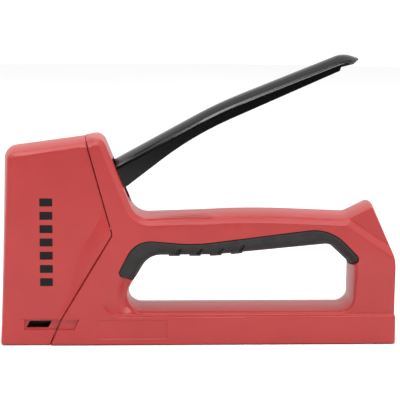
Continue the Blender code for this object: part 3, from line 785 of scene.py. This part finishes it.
def make_lever():
    """A pressed channel of one curved sheet with an arched top, and the arms that carry the lift pin."""
    outline, owners = rounded(lever_corners())
    owners = np.array(owners)
    top = outline[(owners >= 5) & (owners <= 8)]
    holes = [((PIVOT_X, PIVOT_Z), PIVOT_RADIUS + GAP), ((LIFT_X, LIFT_Z), LIFT_RADIUS + GAP)]
    steps = [*LEVER_ARCH, 0.12, LEVER_EDGE, *np.arange(1.55, 4.3, 0.19)]
    lines = [(rounded(lever_corners(), float(d))[0], True) for d in steps]
    lines += [(rounded(lever_corners(), LEVER_SHEET + d)[0], True) for d in (0, 0.04)]
    lines += [(circle(*hole), True) for hole in holes]
    lines += [(np.array([(x, 0.0), (x, BEYOND)]), False) for x in (LEVER_ARMS, LEVER_ARMS + 0.1)]
    flat, faces = triangulate(lines, lattice((front(25), rear(15)), (60, 140), 2.5))
    centres = flat[faces].mean(axis=1)
    keep = within(centres, outline)
    for place, radius in holes:
        keep &= np.linalg.norm(centres - np.array(place), axis=1) > radius
    under = distance(flat, top, closed=False)
    channel = flat[:, 0] > LEVER_ARMS + 0.05
    high = np.where(channel, lever_face(under, flat[:, 0]), LEVER_HALF)
    edge = np.clip(LEVER_EDGE - distance(flat, outline), 0, LEVER_EDGE) * (under > LEVER_EDGE)
    high = np.minimum(high, LEVER_HALF - LEVER_EDGE + arc(LEVER_EDGE, edge))
    wall = LEVER_HALF - LEVER_SHEET
    inner = lever_face(under - LEVER_SHEET, flat[:, 0])
    low = np.where(channel, np.minimum(wall, np.minimum(inner, high - 0.9)), wall)
    low = np.where(channel & (under < LEVER_SHEET + 0.02), 0, low)
    lever = solid_between("fine_lever", flat, faces[keep], low, high, open_below=True)
    fitted(lever, "lever", "black_paint", "lever")


# Printed bars

BARS = 7
BARS_X = (front(19.2), front(25.3))
BARS_LOW = 29.0
BAR_HEIGHT = 3.8
BAR_PITCH = 6.4
PRINT_PROUD = 0.05
PRINT_DEPTH = 0.12


def make_printed_bars():
    """Plain bars printed down the left side of the front cover."""
    bars = []
    for index in range(BARS):
        low_z = BARS_LOW + index * BAR_PITCH
        corners = [
            (BARS_X[0], low_z, 0.3),
            (BARS_X[1], low_z, 0.3),
            (BARS_X[1], low_z + BAR_HEIGHT, 0.3),
            (BARS_X[0], low_z + BAR_HEIGHT, 0.3),
        ]
        bars.append(rounded(corners)[0])
    flat, faces = triangulate([(bar, True) for bar in bars])
    centres = flat[faces].mean(axis=1)
    keep = np.any([within(centres, bar) for bar in bars], axis=0)
    heights = np.full(len(flat), HALF - COVER_STEP + PRINT_PROUD)
    printed = solid_between("printed_bars", flat, faces[keep], heights - PRINT_DEPTH, heights, side=-1)
    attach(printed, "housing")
    printed.data.materials.append(black_ink())




# Finishes


def new_material(name):
    """A material with its Principled shader and a node that gives the place on the object, in metres."""
    made = bpy.data.materials.new(name)
    made.use_nodes = True
    nodes, links = made.node_tree.nodes, made.node_tree.links
    place = nodes.new("ShaderNodeTexCoord").outputs["Object"]
    return made, nodes, links, nodes["Principled BSDF"], place


def noise(nodes, links, place, size, detail=3.0, stretch=None):
    """Noise with features of this size in millimetres."""
    made = nodes.new("ShaderNodeTexNoise")
    made.inputs["Scale"].default_value = 1 / (size * MM)
    made.inputs["Detail"].default_value = detail
    if stretch:
        mapping = nodes.new("ShaderNodeMapping")
        mapping.inputs["Scale"].default_value = stretch
        links.new(place, mapping.inputs["Vector"])
        place = mapping.outputs["Vector"]
    links.new(place, made.inputs["Vector"])
    return made.outputs["Fac"]


def between(nodes, links, factor, low, high, at=(0.3, 0.7)):
    """Colours or numbers from low to high as the factor goes from at[0] to at[1]."""
    ramp = nodes.new("ShaderNodeValToRGB")
    for element, position, value in zip(ramp.color_ramp.elements, at, (low, high)):
        element.position = position
        element.color = (*value, 1) if isinstance(value, tuple) else (value, value, value, 1)
    links.new(factor, ramp.inputs["Fac"])
    return ramp.outputs["Color"]


def bump(nodes, links, shader, height, depth, strength=1.0, under=None):
    """Raises the surface by this many millimetres where the height is 1."""
    made = nodes.new("ShaderNodeBump")
    made.inputs["Distance"].default_value = depth * MM
    made.inputs["Strength"].default_value = strength
    links.new(height, made.inputs["Height"])
    if under is not None:
        links.new(under, made.inputs["Normal"])
    links.new(made.outputs["Normal"], shader.inputs["Normal"])
    return made.outputs["Normal"]


def remembered(make):
    """Makes each material once."""
    kept = {}

    def look():
        if make not in kept:
            kept[make] = make()
        return kept[make]

    return look


@remembered
def red_plastic():
    """Moulded plastic with a fine eroded grain."""
    made, nodes, links, shader, place = new_material("red_plastic")
    drift = noise(nodes, links, place, 22, 2)
    colour = between(nodes, links, drift, (0.375, 0.0235, 0.0228), (0.405, 0.0285, 0.0273))
    links.new(colour, shader.inputs["Base Color"])
    grain = noise(nodes, links, place, 0.28, 4)
    links.new(between(nodes, links, grain, 0.32, 0.44), shader.inputs["Roughness"])
    shader.inputs["IOR"].default_value = 1.5
    flow = bump(nodes, links, shader, noise(nodes, links, place, 9, 1), 0.05)
    bump(nodes, links, shader, grain, 0.02, 0.7, flow)
    return made


@remembered
def grip_rubber():
    made, nodes, links, shader, place = new_material("grip_rubber")
    dust = noise(nodes, links, place, 3.5, 5)
    colour = between(nodes, links, dust, (0.022, 0.021, 0.021), (0.031, 0.03, 0.03))
    links.new(colour, shader.inputs["Base Color"])
    grain = noise(nodes, links, place, 0.35, 3)
    links.new(between(nodes, links, grain, 0.62, 0.8), shader.inputs["Roughness"])
    shader.inputs["Specular IOR Level"].default_value = 0.25
    bump(nodes, links, shader, grain, 0.04, 0.9)
    return made


@remembered
def bumper_rubber():
    made, nodes, links, shader, place = new_material("bumper_rubber")
    specks = noise(nodes, links, place, 1.2, 4)
    colour = between(nodes, links, specks, (0.02, 0.02, 0.02), (0.035, 0.034, 0.033))
    links.new(colour, shader.inputs["Base Color"])
    shader.inputs["Roughness"].default_value = 0.8
    bump(nodes, links, shader, specks, 0.04)
    return made


@remembered
def black_paint():
    """Glossy baked paint with a faint orange peel."""
    made, nodes, links, shader, place = new_material("black_paint")
    drift = noise(nodes, links, place, 15, 2)
    colour = between(nodes, links, drift, (0.0008, 0.0008, 0.001), (0.0016, 0.0016, 0.002))
    links.new(colour, shader.inputs["Base Color"])
    shader.inputs["IOR"].default_value = 1.35
    peel = noise(nodes, links, place, 1.1, 2)
    links.new(between(nodes, links, peel, 0.12, 0.18), shader.inputs["Roughness"])
    bump(nodes, links, shader, peel, 0.006, 0.6)
    return made


@remembered
def black_plastic():
    made, nodes, links, shader, place = new_material("black_plastic")
    grain = noise(nodes, links, place, 0.4, 3)
    colour = between(nodes, links, grain, (0.016, 0.016, 0.018), (0.024, 0.024, 0.026))
    links.new(colour, shader.inputs["Base Color"])
    links.new(between(nodes, links, grain, 0.4, 0.55), shader.inputs["Roughness"])
    bump(nodes, links, shader, grain, 0.02)
    return made


@remembered
def black_ink():
    made, nodes, links, shader, place = new_material("black_ink")
    grain = noise(nodes, links, place, 0.5, 3)
    colour = between(nodes, links, grain, (0.004, 0.003, 0.003), (0.008, 0.006, 0.006))
    links.new(colour, shader.inputs["Base Color"])
    links.new(between(nodes, links, grain, 0.5, 0.65), shader.inputs["Roughness"])
    shader.inputs["IOR"].default_value = 1.3
    return made


def metal(name, dark, light, rough, stretch):
    """Bare metal with fine lines along one direction and faint stains."""
    made, nodes, links, shader, place = new_material(name)
    shader.inputs["Metallic"].default_value = 1.0
    lines = noise(nodes, links, place, 1.0, 4, stretch)
    stains = noise(nodes, links, place, 6, 3)
    links.new(between(nodes, links, stains, dark, light), shader.inputs["Base Color"])
    links.new(between(nodes, links, lines, rough - 0.08, rough + 0.1), shader.inputs["Roughness"])
    bump(nodes, links, shader, lines, 0.01, 0.6)
    return made


@remembered
def steel():
    return metal("steel", (0.5, 0.51, 0.53), (0.62, 0.63, 0.65), 0.3, (0.2, 6, 6))


@remembered
def spring_steel():
    return metal("spring_steel", (0.3, 0.3, 0.32), (0.42, 0.42, 0.44), 0.34, (3, 3, 3))


@remembered
def screw_steel():
    return metal("screw_steel", (0.28, 0.28, 0.3), (0.4, 0.4, 0.42), 0.32, (4, 1, 4))


LOOKS = {
    "red_plastic": red_plastic,
    "grip_rubber": grip_rubber,
    "bumper_rubber": bumper_rubber,
    "black_paint": black_paint,
    "black_plastic": black_plastic,
    "steel": steel,
    "spring_steel": spring_steel,
    "screw_steel": screw_steel,
}


def dress_frame():
    """Every CAD node gets the finish of its slot."""
    for part in frame["record"]["subparts"]:
        mesh = frame["nodes"][part["node"]].data
        mesh.materials.clear()
        mesh.materials.append(LOOKS[part["material_slot"]]())


# Studio

CAMERA = (-0.0335, -0.7544, 0.1907)
TARGET = (0.0007, 0.0, 0.0681)
SEEN_WIDTH = 0.193  # metres across the picture at the target
CAMERA_ROLL = math.radians(0.35)
SENSOR = 36.0


def make_camera():
    data = bpy.data.cameras.new("camera")
    camera = bpy.data.objects.new("camera", data)
    bpy.context.scene.collection.objects.link(camera)
    away = Vector(TARGET) - Vector(CAMERA)
    camera.location = CAMERA
    camera.rotation_mode = "QUATERNION"
    camera.rotation_quaternion = away.to_track_quat("-Z", "Y") @ Quaternion((0, 0, 1), CAMERA_ROLL)
    data.sensor_width = SENSOR
    data.lens = SENSOR * away.length / SEEN_WIDTH
    data.clip_start = 0.01
    bpy.context.scene.camera = camera


def make_light(name, place, size, power, aim=(0, 0, 0.05)):
    data = bpy.data.lights.new(name, "AREA")
    data.shape = "RECTANGLE"
    data.size, data.size_y = size
    data.energy = power
    light = bpy.data.objects.new(name, data)
    bpy.context.scene.collection.objects.link(light)
    light.location = place
    light.rotation_mode = "QUATERNION"
    light.rotation_quaternion = (Vector(aim) - Vector(place)).to_track_quat("-Z", "Y")


def make_floor():
    data = bmesh.new()
    bmesh.ops.create_circle(data, cap_ends=True, segments=96, radius=1.2)
    mesh = bpy.data.meshes.new("floor")
    data.to_mesh(mesh)
    data.free()
    floor = bpy.data.objects.new("floor", mesh)
    floor.location = (0, 0.58, -0.00005)
    bpy.context.scene.collection.objects.link(floor)
    made, nodes, links, shader, place = new_material("pale_floor")
    tone = noise(nodes, links, place, 300, 2)
    colour = between(nodes, links, tone, (0.95, 0.95, 0.95), (0.97, 0.97, 0.97))
    links.new(colour, shader.inputs["Base Color"])
    shader.inputs["Roughness"].default_value = 0.9
    shader.inputs["Specular IOR Level"].default_value = 0.1
    mesh.materials.append(made)


def make_studio():
    """A white room, dimmer ahead of the nose and towards the camera, with three softboxes."""
    make_floor()
    world = bpy.data.worlds.new("studio")
    world.use_nodes = True
    nodes, links = world.node_tree.nodes, world.node_tree.links
    turned = nodes.new("ShaderNodeVectorMath")
    turned.operation = "DOT_PRODUCT"
    turned.inputs[1].default_value = (0.45, 0.89, 0.0)
    links.new(nodes.new("ShaderNodeTexCoord").outputs["Generated"], turned.inputs[0])
    shade = nodes.new("ShaderNodeMapRange")
    for socket, value in zip(("From Min", "From Max", "To Min", "To Max"), (-0.75, 0.0, 0.13, 1.0)):
        shade.inputs[socket].default_value = value
    links.new(turned.outputs["Value"], shade.inputs["Value"])
    links.new(shade.outputs["Result"], nodes["Background"].inputs["Color"])
    nodes["Background"].inputs["Strength"].default_value = 1.18
    bpy.context.scene.world = world
    bpy.context.scene.view_settings.view_transform = "Standard"
    make_light("strip_softbox", (-0.2, -0.65, 1.1), (1.8, 0.16), 14)
    make_light("top_softbox", (0, -0.12, 1.2), (1.2, 0.4), 3.5)
    make_light("side_softbox", (1.2, -0.5, 0.6), (0.8, 0.8), 1)


# Everything in the order it is made


make_camera()
dress_frame()
make_shells("front_cover", housing_corners(TOP_STEP), cover_heights, nose_region)
make_shells("body_shell", housing_corners(), body_heights, body_region)
make_rubber()
make_lever()
make_printed_bars()
make_studio()
